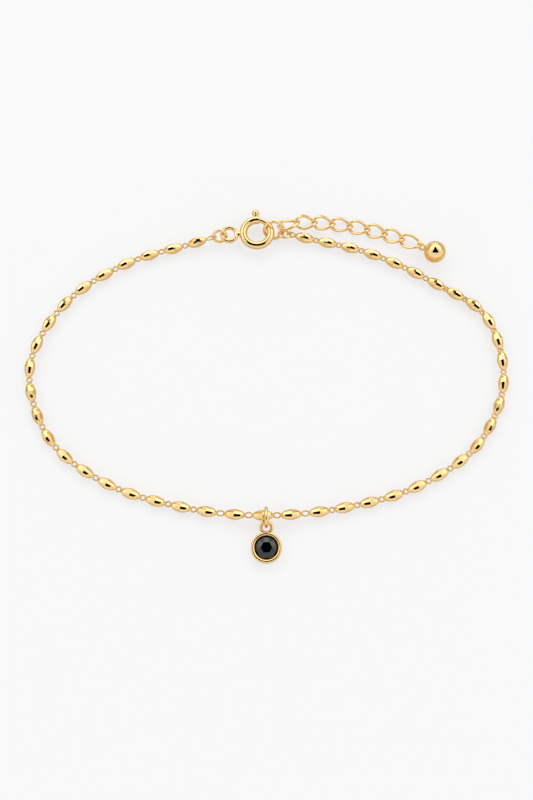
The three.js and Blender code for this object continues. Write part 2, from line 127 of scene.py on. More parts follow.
# The camera's view: its angle above the table in degrees, and otherwise millimetres
CAMERA_ELEVATION = 76
CAMERA_DISTANCE = 180
CAMERA_LENS = 43.2
CAMERA_SENSOR = 36
CAMERA_TARGET = (0.03, -3.73, 0)

# The table top: half its side, and its height, a little under the anklet so that the two don't flicker
TABLE_HALF = 600
TABLE_LEVEL = -0.01


def length(name, value, words):
    """A size in millimetres as a property in metres."""
    return FloatProperty(name=name, description=words, default=value * MM, min=0, unit="LENGTH", precision=5)


def number(name, value, words):
    """A plain number that isn't negative."""
    return FloatProperty(name=name, description=words, default=value, min=0)


def colour(name, value, words):
    """A colour property from an sRGB hex value."""
    return FloatVectorProperty(name=name, description=words, default=linear(value), size=4, subtype="COLOR")


def linear(value):
    """An sRGB hex value as linear red, green, blue and alpha: c / 12.92 up to 0.04045, and above that
    ((c + 0.055) / 1.055) ** 2.4."""
    parts = np.array([(value >> shift) & 255 for shift in (16, 8, 0)]) / 255
    parts = np.where(parts <= 0.04045, parts / 12.92, ((parts + 0.055) / 1.055) ** 2.4)
    return (*parts, 1.0)


class ChainSettings(PropertyGroup):
    """Sizes of the beads and of the small rings between them."""

    bead_length: length("Bead length", 3.86, "Length of a bead between its tips")
    bead_width: length("Bead width", 2.04, "Width of a bead at its middle")
    bead_tip: length("Bead tip", 0.42, "Width of a bead at its tips")
    bead_crown: number("Crown", 4.0, "How full a bead stays towards its tips")
    bead_ridge: number("Ridge", 0.4, "Share of a bead's taper that is straight")
    bead_facets: IntProperty(name="Facets", description="Lengthwise cuts round a bead", default=12, min=6)
    facet_depth: number("Facet depth", 0.9, "From 0, round, to 1, flat facets")
    ring_width: length("Ring width", 1.22, "Outer diameter of the small rings")
    ring_wire: length("Ring wire", 0.3, "Wire of the small rings")
    ring_seat: length("Ring seat", 0.02, "How far a small ring's wire reaches into a tip")
    ring_play: length("Ring play", 0.12, "Gap between a long small ring and the wire it holds")
    tip_eye: length("Tip eye", 0.6, "Outer diameter of the upright eye at a bead's tip")
    tip_eye_wire: length("Tip eye wire", 0.22, "Wire of that eye")
    tip_eye_seat: length("Tip eye seat", 0.14, "How far the middle of that eye lies inside the tip")


class ClaspSettings(PropertyGroup):
    """Sizes of the spring ring clasp."""

    width: length("Clasp width", 6.8, "Outer diameter of the clasp")
    tube: length("Tube", 1.48, "Outer diameter of its tube")
    wall: length("Tube wall", 0.14, "Wall of its tube")
    bolt_gap: length("Bolt clearance", 0.13, "Gap between the bolt and the tube's bore")
    knob: length("Knob", 1.44, "Diameter of the knob")
    neck: length("Neck", 0.8, "Diameter of the knob's neck")
    slot_gap: length("Slot clearance", 0.09, "Gap between the neck and its slot")
    eye: length("Eye", 3.56, "Outer diameter of the soldered eye")
    eye_wire: length("Eye wire", 0.76, "Wire of the eye")
    bridge: length("Bridge", 1.3, "Width of the solder between the eye and the tube")


class LinkSettings(PropertyGroup):
    """Sizes of the plain rings, the extender and its ball."""

    end_wire: length("Ring wire", 0.56, "Wire of the end rings and of the tag ring")
    left_ring: length("Left end ring", 3.06, "Outer diameter of the left end ring")
    right_ring: length("Right end ring", 2.74, "Outer diameter of the right end ring")
    tag_ring: length("Tag ring", 4.28, "Outer diameter of the tag ring")
    link_length: length("Link length", 4.78, "Outer length of an extender link")
    link_width: length("Link width", 3.06, "Outer width of an extender link")
    link_wire: length("Link wire", 0.53, "Wire of the extender links")
    ball: length("Ball", 4.14, "Diameter of the ball at the extender's end")
    ball_eye: length("Ball eye", 1.9, "Outer diameter of the ball's eye")
    ball_eye_wire: length("Ball eye wire", 0.39, "Wire of the ball's eye")


class CharmSettings(PropertyGroup):
    """Sizes of the charm."""

    ring: length("Charm ring", 3.92, "Outer diameter of the ring round the bead")
    ring_wire: length("Charm ring wire", 0.66, "Wire of that ring")
    loop: length("Loop", 2.6, "Outer diameter of the bezel's loop")
    loop_wire: length("Loop wire", 0.62, "Wire of the loop")
    loop_height: length("Loop height", 1.55, "Height of the loop's middle above the table")
    bezel: length("Bezel", 5.56, "Outer diameter of the bezel")
    bezel_height: length("Bezel height", 1.9, "Height of the bezel")
    bezel_wall: length("Bezel wall", 0.58, "Wall of the bezel")
    bezel_edge: length("Bezel edge", 0.3, "Rounding of the bezel's outer edges")
    bezel_floor: length("Bezel floor", 0.4, "Thickness of the bezel's floor")
    bezel_grip: length("Bezel grip", 0.2, "How far the loop reaches into the bezel")


class FinishSettings(PropertyGroup):
    """Colours of the metal, the stone and the table."""

    gold: colour("Gold", 0xF8D594, "Yellow gold plate")
    gold_deep: colour("Deep gold", 0xF2C97F, "Yellow gold plate where it is a little thicker")
    gold_dull: colour("Dull gold", 0xCFAE68, "Yellow gold plate on soldered joints")
    stone: colour("Stone", 0x050506, "Black stone")
    table: colour("Table", 0x929292, "Light table")
    table_light: colour("Table light", 0xFFFFFF, "Light from below the table")
    table_edge: colour("Table's warm light", 0xFBE6B8, "The part of it that falls on the metal")
    table_glow: number("Table glow", 0.66, "Strength of that light")
    table_spill: number("Table spill", 0.72, "Share of it that falls on the metal")


GROUPS = {
    "anklet_chain": ChainSettings,
    "anklet_clasp": ClaspSettings,
    "anklet_links": LinkSettings,
    "anklet_charm": CharmSettings,
    "anklet_finish": FinishSettings,
}


class Sizes:
    """The lengths of one settings group in millimetres, and its other values as they are."""

    def __init__(self, group):
        settings = getattr(bpy.context.scene, group)
        for name, prop in settings.bl_rna.properties.items():
            if getattr(prop, "unit", "") == "LENGTH":
                setattr(self, name, getattr(settings, name) / MM)
            elif name not in ("rna_type", "name"):
                setattr(self, name, getattr(settings, name))


def heading(angle):
    """A unit direction in the table's plane for an angle a: (cos a, sin a, 0)."""
    a = np.radians(angle)
    return np.array([np.cos(a), np.sin(a), 0.0])


def unit(vectors):
    """Vectors divided by their lengths."""
    return vectors / np.linalg.norm(vectors, axis=-1, keepdims=True)


def node_middle(name):
    """A node's middle in millimetres and its three main directions, longest first: the mean of its corners,
    and the right singular vectors of the corners less that mean."""
    mesh = frame["nodes"][name].data
    corners = np.empty(len(mesh.vertices) * 3)
    mesh.vertices.foreach_get("co", corners)
    corners = corners.reshape(-1, 3) / MM
    middle = corners.mean(0)
    return middle, np.linalg.svd(corners - middle, full_matrices=False)[2]


def placed(points, at, along, roll=0.0):
    """Points drawn along +X, turned so that +X is `along` and +Z as high as it can be, rolled by an angle
    about `along`, and moved to `at`. Several places give one copy of the points for each."""
    at, along = np.atleast_2d(at), unit(np.atleast_2d(along))
    side = unit(np.cross([0.0, 0.0, 1.0], along))
    top = np.cross(along, side)
    turn = np.radians(np.broadcast_to(roll, len(at)))[:, None]
    across = np.cos(turn) * side + np.sin(turn) * top
    over = np.cos(turn) * top - np.sin(turn) * side
    axes = np.stack([along, across, over], 1)
    spread = at.reshape(-1, *[1] * (points.ndim - 1), 3)
    return np.einsum("...j,kji->k...i", points, axes) + spread


def grid_faces(rows, columns, rows_meet, columns_meet):
    """The corner numbers of a grid's faces: (i, j), (i, j+1), (i+1, j+1), (i+1, j), where the last row or
    column may meet the first."""
    i = np.arange(rows - (not rows_meet))[:, None]
    j = np.arange(columns - (not columns_meet))[None, :]
    below, right = (i + 1) % rows, (j + 1) % columns
    corners = (i * columns + j, i * columns + right, below * columns + right, below * columns + j)
    return np.stack(corners, -1).reshape(-1, 4)


def ring_surface(outer, wire, around=72, across=20):
    """A ring of round wire in the XY plane: ((R + r cos v) cos u, (R + r cos v) sin u, r sin v), where r is
    half the wire and R is half the outer diameter less r."""
    r = wire / 2
    u = np.linspace(0, 2 * np.pi, around, endpoint=False)[:, None]
    v = np.linspace(0, 2 * np.pi, across, endpoint=False)[None, :]
    far = outer / 2 - r + r * np.cos(v)
    points = np.stack([far * np.cos(u), far * np.sin(u), r * np.sin(v) + 0 * u], -1)
    return points, grid_faces(around, across, True, True)


def turned_surface(profile, around=96, ripple=None):
    """A profile of (distance along X, radius) turned about X: (x, r cos v, r sin v). Its ends lie on the
    axis. `ripple` is a factor on the radius for each place and angle v."""
    profile = np.asarray(profile, float)
    v = np.linspace(0, 2 * np.pi, around, endpoint=False)
    r = profile[:, 1:] * (np.ones(around) if ripple is None else ripple)
    points = np.stack([profile[:, :1] + 0 * r, r * np.cos(v), r * np.sin(v)], -1)
    return points, grid_faces(len(profile), around, False, True)


def wire_surface(path, radius, across=20):
    """Round wire along a closed path: c + r (n cos v + b sin v), where n is the direction from the path's
    middle made square to the path's tangent t, and b is t x n."""
    tangent = unit(np.roll(path, -1, 0) - np.roll(path, 1, 0))
    away = path - path.mean(0)
    normal = unit(away - (away * tangent).sum(-1, keepdims=True) * tangent)
    binormal = np.cross(tangent, normal)
    v = np.linspace(0, 2 * np.pi, across, endpoint=False)[None, :, None]
    points = path[:, None] + radius * (np.cos(v) * normal[:, None] + np.sin(v) * binormal[:, None])
    return points, grid_faces(len(path), across, True, True)


def oval(reach, half_width, twist=0, steps=96):
    """The middle line of a link: (A cos t, B sin t cos w, B sin t sin w), with w = -twist cos t."""
    t = np.linspace(0, 2 * np.pi, steps, endpoint=False)
    w = -np.radians(twist) * np.cos(t)
    across = half_width * np.sin(t)
    return np.stack([reach * np.cos(t), across * np.cos(w), across * np.sin(w)], -1)


def bead_surface(size):
    """A spindle bead along X. At a share s of its half length its radius is
    tip + (half width - tip) (1 - a |s| - (1 - a) |s| ** p), which leaves a ridge round the middle. Its
    section lies between a circle and a polygon with n sides: 1 - d (1 - cos(pi / n) / cos(w)), with w the
    angle from the middle of a facet. The rear half has a facet on top and the front half an edge, so they
    are staggered."""
    near = np.array(BEAD_SHARES)
    share = np.concatenate([-near[::-1], near])
    tip = size.bead_tip / 2
    full = 1 - size.bead_ridge * np.abs(share) - (1 - size.bead_ridge) * np.abs(share) ** size.bead_crown
    radius = tip + (size.bead_width / 2 - tip) * full
    x = share * size.bead_length / 2
    profile = np.concatenate([[(x[0], 0)], np.stack([x, radius], -1), [(x[-1], 0)]])
    around = 4 * size.bead_facets
    angle = np.linspace(0, 2 * np.pi, around, endpoint=False)
    facet = 2 * np.pi / size.bead_facets
    rear = (angle + facet / 2) % facet - facet / 2
    front = angle % facet - facet / 2
    off = np.repeat([rear, front], len(near) + 1, axis=0)
    ripple = 1 - size.facet_depth * (1 - np.cos(facet / 2) / np.cos(off))
    return turned_surface(profile, around, ripple)


def shell_surface(outer, inner, cut):
    """A wall between two grids of the same shape, whose columns meet, with its two ends and every cut cell
    open. The rim of each opening joins the outer grid's edge to the inner grid's."""
    rows, columns = outer.shape[:2]
    count = rows * columns
    faces = grid_faces(rows, columns, False, True)
    kept = faces[~cut.reshape(-1)]
    shut = np.pad(~cut, ((1, 1), (0, 0)))
    i, j = np.nonzero(shut[1:] != shut[:-1])
    ends = np.stack([i * columns + j, i * columns + (j + 1) % columns], -1)
    i, j = np.nonzero(cut != np.roll(cut, 1, 1))
    sides = np.stack([i * columns + j, (i + 1) * columns + j], -1)
    edges = np.concatenate([ends, sides])
    rims = np.stack([edges[:, 0], edges[:, 1], edges[:, 1] + count, edges[:, 0] + count], -1)
    points = np.concatenate([outer.reshape(-1, 3), inner.reshape(-1, 3)])
    return points, np.concatenate([kept, kept[:, ::-1] + count, rims])


def copies(surface, at, along, roll=0.0):
    """Copies of a surface at the given places, as one surface."""
    points, faces = surface
    corners = int(np.prod(points.shape[:-1]))
    made = placed(points, at, along, roll)
    steps = np.arange(len(made))[:, None, None] * corners
    return made.reshape(-1, 3), (faces[None] + steps).reshape(-1, 4)


def together(*surfaces):
    """Several surfaces as one, with their corners numbered on."""
    points, faces, first = [], [], 0
    for corners, quads in surfaces:
        corners = corners.reshape(-1, 3)
        points.append(corners)
        faces.append(quads + first)
        first += len(corners)
    return np.concatenate(points), np.concatenate(faces)


def make_piece(name, surface, material, body, *nodes, slot="gold", crease=40):
    """Puts a surface in millimetres into a mesh object at the origin, closes its poles, turns its faces
    outwards, and lets it ride on a body and stand for the nodes. Edges turn sharp above the crease angle."""
    points, faces = surface
    mesh = bpy.data.meshes.new(name)
    mesh.from_pydata((points.reshape(-1, 3) * MM).tolist(), [], faces.tolist())
    work = bmesh.new()
    work.from_mesh(mesh)
    bmesh.ops.remove_doubles(work, verts=work.verts, dist=SAME_PLACE * MM)
    bmesh.ops.recalc_face_normals(work, faces=work.faces)
    work.to_mesh(mesh)
    work.free()
    mesh.shade_smooth()
    mesh.set_sharp_from_angle(angle=np.radians(crease))
    mesh.materials.append(material)
    piece = bpy.data.objects.new(name, mesh)
    bpy.context.scene.collection.objects.link(piece)
    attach(piece, body)
    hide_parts(*nodes)


def add_node(tree, kind, inputs=None, **settings):
    """Adds a node, sets its settings, and gives each named or numbered input a value or another's output."""
    made = tree.nodes.new(kind)
    for name, value in settings.items():
        setattr(made, name, value)
    for name, value in (inputs or {}).items():
        if isinstance(value, bpy.types.NodeSocket):
            tree.links.new(value, made.inputs[name])
        else:
            made.inputs[name].default_value = value
    return made


def new_material(name):
    """An empty node material with its tree and its output."""
    material = bpy.data.materials.new(name)
    material.use_nodes = True
    material.node_tree.nodes.clear()
    return material, material.node_tree, add_node(material.node_tree, "ShaderNodeOutputMaterial")


# Sizes of the marks that the finishes show, in millimetres: haze on gold, lapping on stone, grain on acrylic.
# The last two are finer on real ones, and are drawn as coarse as they need to be
HAZE = 2.4
LAPPING = 0.3
GRAIN = 0.8


def per_metre(wavelength):
    """A noise texture's scale for features of a size in millimetres."""
    return 1 / (wavelength * MM)


def gold_plate(name, ripple, ripple_height, roughness, shade, shade_deep):
    """Polished yellow gold plate on brass, dipped in clear lacquer against tarnish. Buffing leaves it a
    mirror with a faint orange-peel of a given size and height in millimetres, and haze that comes and goes
    over a few millimetres. The lacquer puts a second, colourless reflection over the yellow one."""
    finish = bpy.context.scene.anklet_finish
    material, tree, output = new_material(name)
    place = add_node(tree, "ShaderNodeTexCoord").outputs["Object"]
    cloud = add_node(tree, "ShaderNodeTexNoise", {"Vector": place, "Scale": per_metre(HAZE), "Detail": 3.0})
    peel = add_node(tree, "ShaderNodeTexNoise", {"Vector": place, "Scale": per_metre(ripple), "Detail": 1.0})
    # A Mix node has three sets of sockets with the same names, so its colours are numbered
    shades = {0: cloud.outputs["Fac"], 6: getattr(finish, shade), 7: getattr(finish, shade_deep)}
    tint = add_node(tree, "ShaderNodeMix", shades, data_type="RGBA")
    haze = add_node(
        tree,
        "ShaderNodeMapRange",
        {"Value": cloud.outputs["Fac"], "To Min": roughness * 0.8, "To Max": roughness * 1.3},
    )
    bump = add_node(
        tree,
        "ShaderNodeBump",
        {"Height": peel.outputs["Fac"], "Strength": 1.0, "Distance": ripple_height * MM},
    )
    shader = add_node(
        tree,
        "ShaderNodeBsdfPrincipled",
        {
            "Base Color": tint.outputs[2],
            "Metallic": 1.0,
            "Roughness": haze.outputs["Result"],
            "Normal": bump.outputs["Normal"],
            "Coat Weight": 1.0,
            "Coat Roughness": 0.05,
        },
    )
    tree.links.new(shader.outputs["BSDF"], output.inputs["Surface"])
    return material


def black_stone():
    """Faceted black cubic zirconia: flat polished facets with a strong gloss over a body that lets no light
    through, and traces of the polishing lap."""
    finish = bpy.context.scene.anklet_finish
    material, tree, output = new_material("black_cubic_zirconia_polished")
    place = add_node(tree, "ShaderNodeTexCoord").outputs["Object"]
    marks = {"Vector": place, "Scale": per_metre(LAPPING), "Detail": 4.0}
    trace = add_node(tree, "ShaderNodeTexNoise", marks)
    gloss = add_node(
        tree,
        "ShaderNodeMapRange",
        {"Value": trace.outputs["Fac"], "To Min": 0.03, "To Max": 0.07},
    )
    shader = add_node(
        tree,
        "ShaderNodeBsdfPrincipled",
        {"Base Color": finish.stone, "Roughness": gloss.outputs["Result"], "IOR": 1.65},
    )
    tree.links.new(shader.outputs["BSDF"], output.inputs["Surface"])
    return material


def light_table():
    """White opal acrylic lit from below, as under a product photograph: its glow leaves only faint shadows,
    and its satin grain is too fine to see. The light that it gives the metal is dimmer and warmer than the
    one that shows in the picture, so low edges stay deep and yellow."""
    finish = bpy.context.scene.anklet_finish
    material, tree, output = new_material("white_opal_acrylic_satin")
    place = add_node(tree, "ShaderNodeTexCoord").outputs["Object"]
    grain = add_node(tree, "ShaderNodeTexNoise", {"Vector": place, "Scale": per_metre(GRAIN), "Detail": 2.0})
    sheen = add_node(
        tree,
        "ShaderNodeMapRange",
        {"Value": grain.outputs["Fac"], "To Min": 0.75, "To Max": 0.85},
    )
    seen = add_node(tree, "ShaderNodeLightPath").outputs["Is Camera Ray"]
    glow = add_node(
        tree,
        "ShaderNodeMapRange",
        {"Value": seen, "To Min": finish.table_glow * finish.table_spill, "To Max": finish.table_glow},
    )
    shades = {0: seen, 6: finish.table_edge, 7: finish.table_light}
    tint = add_node(tree, "ShaderNodeMix", shades, data_type="RGBA")
    shader = add_node(
        tree,
        "ShaderNodeBsdfPrincipled",
        {
            "Base Color": finish.table,
            "Roughness": sheen.outputs["Result"],
            "Specular IOR Level": 0.2,
            "Emission Color": tint.outputs[2],
            "Emission Strength": glow.outputs["Result"],
        },
    )
    tree.links.new(shader.outputs["BSDF"], output.inputs["Surface"])
    return material


# Each gold finish: its name, the size and height of its orange-peel, its roughness and its two shades
FINISHES = {
    "bead": ("gold_plate_diamond_cut", 0.9, 0.0005, 0.06, "gold", "gold_deep"),
    "wire": ("gold_plate_on_drawn_wire", 0.7, 0.0006, 0.08, "gold", "gold_deep"),
    "joint": ("gold_plate_on_soldered_joints", 0.4, 0.0015, 0.2, "gold_dull", "gold_deep"),
    "cast": ("gold_plate_on_casting", 1.2, 0.0008, 0.07, "gold", "gold_deep"),
}


def finish_of(kind):
    """A gold finish by its kind, made once."""
    name, *values = FINISHES[kind]
    return bpy.data.materials.get(name) or gold_plate(name, *values)


class Route:
    """The chain's middle line: a centripetal Catmull-Rom curve on the table through the route's points,
    between the wires of the two end rings, lifted at the charm's ring and at the clasp by
    cos(pi / 2 * share) ** 2."""

    def __init__(self, size, links, charm):
        left, _ = node_middle("left_end_ring")
        right, _ = node_middle("right_end_ring")
        self.start = left + heading(LEFT_END_ANGLE) * (links.left_ring - links.end_wire) / 2
        self.end = right + heading(RIGHT_END_ANGLE) * (links.right_ring - links.end_wire) / 2
        inner = np.array(ROUTE) + CLASP[:2]
        knots = np.concatenate([[self.start[:2]], inner, [self.end[:2]]])
        self.line = self.curve(knots)
        steps = np.linalg.norm(np.diff(self.line, axis=0), axis=1)
        self.far = np.concatenate([[0], np.cumsum(steps)])
        self.length = self.far[-1]
        shares = np.repeat([share for _, share in SPACING], [gaps for gaps, _ in SPACING])
        pitches = shares * (self.length - LEFT_LEAD - RIGHT_LEAD) / shares.sum()
        self.beads = LEFT_LEAD + np.concatenate([[0], np.cumsum(pitches)])
        half_width = (size.ring_width - size.ring_wire) / 2
        self.reaches = np.maximum((pitches - size.bead_length) / 2 + size.ring_seat, half_width)
        self.step = size.bead_length / 4
        self.rest = size.bead_width / 2
        charm_place = self.beads[CHARM_BEAD] + CHARM_RING_OFFSET
        self.rises = [
            (charm_place, (charm.ring - size.bead_width) / 2, CHARM_RISE_LENGTH),
            (0, left[2] - self.rest, END_RISE_LENGTH),
            (self.length, right[2] - self.rest, END_RISE_LENGTH),
        ]

    @staticmethod
    def curve(knots):
        """Points along the curve: on each stretch c0 + c1 w + c2 w ** 2 + c3 w ** 3, with tangents from the
        square roots of the distances between knots."""
        first = 2 * knots[0] - knots[1]
        last = 2 * knots[-1] - knots[-2]
        p = np.concatenate([[first], knots, [last]])
        root = np.sqrt(np.linalg.norm(np.diff(p, axis=0), axis=1))[:, None]
        a, b, c = root[:-2], root[1:-1], root[2:]
        p0, p1, p2, p3 = p[:-3], p[1:-2], p[2:-1], p[3:]
        t1 = b * ((p1 - p0) / a - (p2 - p0) / (a + b) + (p2 - p1) / b)
        t2 = b * ((p2 - p1) / b - (p3 - p1) / (b + c) + (p3 - p2) / c)
        w = np.linspace(0, 1, ROUTE_STEPS, endpoint=False)[None, :, None]
        t1, t2, p1, p2 = t1[:, None], t2[:, None], p1[:, None], p2[:, None]
        cubic = p1 + t1 * w + (3 * (p2 - p1) - 2 * t1 - t2) * w**2 + (2 * (p1 - p2) + t1 + t2) * w**3
        return np.concatenate([cubic.reshape(-1, 2), knots[-1:]])

    def point(self, distance):
        """Points of the middle line at distances along it."""
        distance = np.atleast_1d(distance)
        x = np.interp(distance, self.far, self.line[:, 0])
        y = np.interp(distance, self.far, self.line[:, 1])
        z = np.full(len(distance), self.rest)
        for peak, height, span in self.rises:
            share = np.minimum(np.abs(distance - peak) / span, 1)
            z = z + height * np.cos(np.pi / 2 * share) ** 2
        return np.stack([x, y, z], -1)

    def direction(self, distance):
        """Unit directions of the middle line at distances along it."""
        distance = np.atleast_1d(distance)
        return unit(self.point(distance + self.step) - self.point(distance - self.step))


class ANKLET_OT_chain(Operator):
    """Makes the beads of the chain and the small rings between them"""

    bl_idname = "anklet.chain"
    bl_label = "Chain"

    def execute(self, context):
        size, links, charm = Sizes("anklet_chain"), Sizes("anklet_links"), Sizes("anklet_charm")
        route = Route(size, links, charm)
        bead = bead_surface(size)
        eye = ring_surface(size.tip_eye, size.tip_eye_wire, 20, 8)
        tip = size.bead_length / 2 - size.tip_eye_seat
        half_width = (size.ring_width - size.ring_wire) / 2
        between = (route.beads[1:] + route.beads[:-1]) / 2
        rings = [self.ring(size, route, at, reach, half_width) for at, reach in zip(between, route.reaches)]
        ends = {
            "left": (slice(LEFT_BEADS), self.end_ring(size, links, route, 0, LEFT_LEAD, 90 - LEFT_END_ROLL)),
            "right": (
                slice(LEFT_BEADS, None),
                self.end_ring(size, links, route, route.length, -RIGHT_LEAD, 90 - RIGHT_END_ROLL),
            ),
        }
        for side, (half, end) in ends.items():
            beads = route.beads[half]
            along = route.direction(beads)
            # Each bead hangs with its front half towards the charm's side
            lie = np.where(along[:, 1:2] > 0, -along, along)
            strung = copies(bead, route.point(beads), lie)
            make_piece(side + "_beads", strung, finish_of("bead"), "anklet", "chain_" + side, crease=15)
            eyes = [copies(eye, route.point(beads) + way * tip * along, along, 90) for way in (-1, 1)]
            joints = together(end, *rings[half], *eyes)
            make_piece(side + "_small_rings", joints, finish_of("joint"), "anklet", "chain_" + side)
        return {"FINISHED"}

    def ring(self, size, route, at, reach, half_width, roll=0):
        """A small ring at a distance along the route."""
        surface = wire_surface(oval(reach, half_width, steps=40), size.ring_wire / 2, 12)
        return copies(surface, route.point(at), route.direction(at), roll)

    def end_ring(self, size, links, route, end, lead, roll):
        """The long small ring from an end ring's wire to the nearest bead's tip."""
        hold = (links.end_wire + size.ring_wire) / 2 + size.ring_play
        tip = abs(lead) - size.bead_length / 2 + size.ring_seat
        at = end + np.sign(lead) * (tip - hold) / 2
        return self.ring(size, route, at, (tip + hold) / 2, hold, roll)


class ANKLET_OT_rings(Operator):
    """Makes the plain rings at the ends of the chain, at the clasp and at the charm"""

    bl_idname = "anklet.rings"
    bl_label = "Plain rings"

    def execute(self, context):
        links, charm = Sizes("anklet_links"), Sizes("anklet_charm")
        rings = {
            "left_end_ring": (links.left_ring, links.end_wire),
            "right_end_ring": (links.right_ring, links.end_wire),
            "tag_ring": (links.tag_ring, links.end_wire),
            "charm_ring": (charm.ring, charm.ring_wire),
        }
        for node, (outer, wire) in rings.items():
            middle, axes = node_middle(node)
            points, faces = ring_surface(outer, wire)
            turned = points @ axes + middle
            make_piece("round_" + node, (turned, faces), finish_of("wire"), "anklet", node)
        return {"FINISHED"}


class ANKLET_OT_clasp(Operator):
    """Makes the clasp's tube with its slot and soldered eye, and its sliding bolt with the knob"""

    bl_idname = "anklet.clasp"
    bl_label = "Spring ring clasp"

    # Angles from each end of the tube, in degrees, at which its section is worked out
    NEAR_END = np.array([0, 0.5, 1.2, 2.5, 4.5, 6.2, 7.2, 8.0, 9.0, 10.0])
    # The collar: its length and the softness of its edge in degrees, and its rise as a share of the radius
    COLLAR = 7
    COLLAR_EDGE = 0.4
    COLLAR_RISE = 0.09
    # The rounded ends: how far they reach in degrees, and how far they fall as a share of the radius
    END_REACH = 0.5
    END_FALL = 0.09
    # Spare room in degrees for telling which cells lie in the slot
    SAME_ANGLE = 0.01
    # The solder: how deep it lies in the tube's wall and in the eye's wire, its waist as a share of its
    # width, its widening for each square millimetre, and its height as a share of its width
    IN_WALL = 0.9
    IN_EYE = 0.7
    WAIST = 0.95
    WIDENING = 1.1
    FLATNESS = 0.62
    # Where the neck meets the knob, as a share of the knob's radius, and a little less for a wide neck
    KNOB_JOIN = 0.7

    def execute(self, context):
        size = Sizes("anklet_clasp")
        reach = (size.width - size.tube) / 2
        tube = together(self.tube(size, reach), self.eye(size), self.bridge(size))
        bolt = together(self.bolt(size, reach), self.knob(size, reach))
        make_piece("clasp_body", tube, finish_of("cast"), "anklet", "clasp_tube")
        make_piece("clasp_slider", bolt, finish_of("cast"), "bolt", "clasp_bolt")
        return {"FINISHED"}

    def tube(self, size, reach):
        """A hollow tube bent to radius R: clasp + (R + r cos v) h(u) + r sin v z. Its outer radius r is
        tube / 2 (1 + rise / (1 + exp((last - u - collar) / edge)) - fall exp(-e / reach)), with e the angle
        to the nearer end: it swells into a collar at its far end. A window on its outer side is the knob's
        slot."""
        neck = np.degrees(size.neck / size.width)
        slot = (KNOB_ANGLE - neck - SLOT_SPARE_ANGLE, KNOB_ANGLE + KNOB_TRAVEL + neck + SLOT_SPARE_ANGLE)
        tall = np.degrees(np.arcsin((size.neck / 2 + size.slot_gap) / (size.tube / 2)))
        first, last = GAP_END, GAP_START + 360
        u = np.concatenate([
            first + self.NEAR_END,
            np.linspace(slot[0], slot[1], 40),
            np.linspace(slot[1], last - self.NEAR_END[-1], 150)[1:],
            last - self.NEAR_END[-2::-1],
        ])
        v = np.concatenate([np.linspace(-tall, tall, 13), np.linspace(tall, 360 - tall, 36)[1:-1]])
        collar = 1 / (1 + np.exp((last - u - self.COLLAR) / self.COLLAR_EDGE))
        ends = np.exp(-np.minimum(u - first, last - u) / self.END_REACH)
        wide = size.tube / 2 * (1 + self.COLLAR_RISE * collar - self.END_FALL * ends)
        bore = np.full(len(u), size.tube / 2 - size.wall)
        spare = self.SAME_ANGLE
        in_slot = (u[:-1] >= slot[0] - spare) & (u[1:] <= slot[1] + spare)
        facing = (v >= -tall - spare) & (v < tall - spare)
        cut = in_slot[:, None] & facing[None, :]
        return shell_surface(self.bent(reach, u, v, wide), self.bent(reach, u, v, bore), cut)

    def bent(self, reach, u, v, radius):
        """A grid round an arc about the clasp's middle, with a radius for each angle u."""
        out = np.stack([np.cos(np.radians(u)), np.sin(np.radians(u)), 0 * u], -1)[:, None]
        v = np.radians(v)[None, :, None]
        radius = np.asarray(radius)[:, None, None]
        return CLASP + out * (reach + radius * np.cos(v)) + radius * np.sin(v) * np.array([0, 0, 1.0])

    def eye(self, size):
        """The soldered eye, a flat ring beside the tube."""
        points, faces = ring_surface(size.eye, size.eye_wire)
        return points + self.eye_middle(size), faces

    def eye_middle(self, size):
        """The middle of the eye."""
        return CLASP + heading(EYE_ANGLE) * (size.width / 2 + EYE_GAP + size.eye / 2)

    def bridge(self, size):
        """The solder between the tube and the eye: a neck whose half width is
        width / 2 (waist + widening d ** 2), with d the distance from its waist. It is lower than wide."""
        waist = size.width / 2 + EYE_GAP
        start, end = size.width / 2 - size.wall * self.IN_WALL, waist + size.eye_wire * self.IN_EYE
        along = np.linspace(start, end, 21)
        radius = size.bridge / 2 * (self.WAIST + self.WIDENING * (along - waist) ** 2)
        profile = np.concatenate([[(start, 0)], np.stack([along, radius], -1), [(end, 0)]])
        points, faces = turned_surface(profile, 48)
        return placed(points * np.array([1, 1, self.FLATNESS]), CLASP, heading(EYE_ANGLE))[0], faces

    def bolt(self, size, reach):
        """The bolt's round wire, bent as the tube is. Its radius is r sin t for t from 0 to 90 degrees at
        each end, which closes it in a half circle."""
        radius = size.tube / 2 - size.wall - size.bolt_gap
        t = np.radians(np.linspace(0, 90, 7))
        cap = np.degrees(radius / reach)
        rounding = cap * (1 - np.cos(t))
        middle = np.linspace(BOLT_TIP + cap, BOLT_REAR - cap, 60)[1:-1]
        u = np.concatenate([BOLT_TIP + rounding, middle, BOLT_REAR - rounding[::-1]])
        share = np.concatenate([np.sin(t), np.ones(len(middle)), np.sin(t[::-1])])
        v = np.linspace(0, 360, 32, endpoint=False)
        points = self.bent(reach, u, v, radius * share)
        return points, grid_faces(len(u), len(v), False, True)

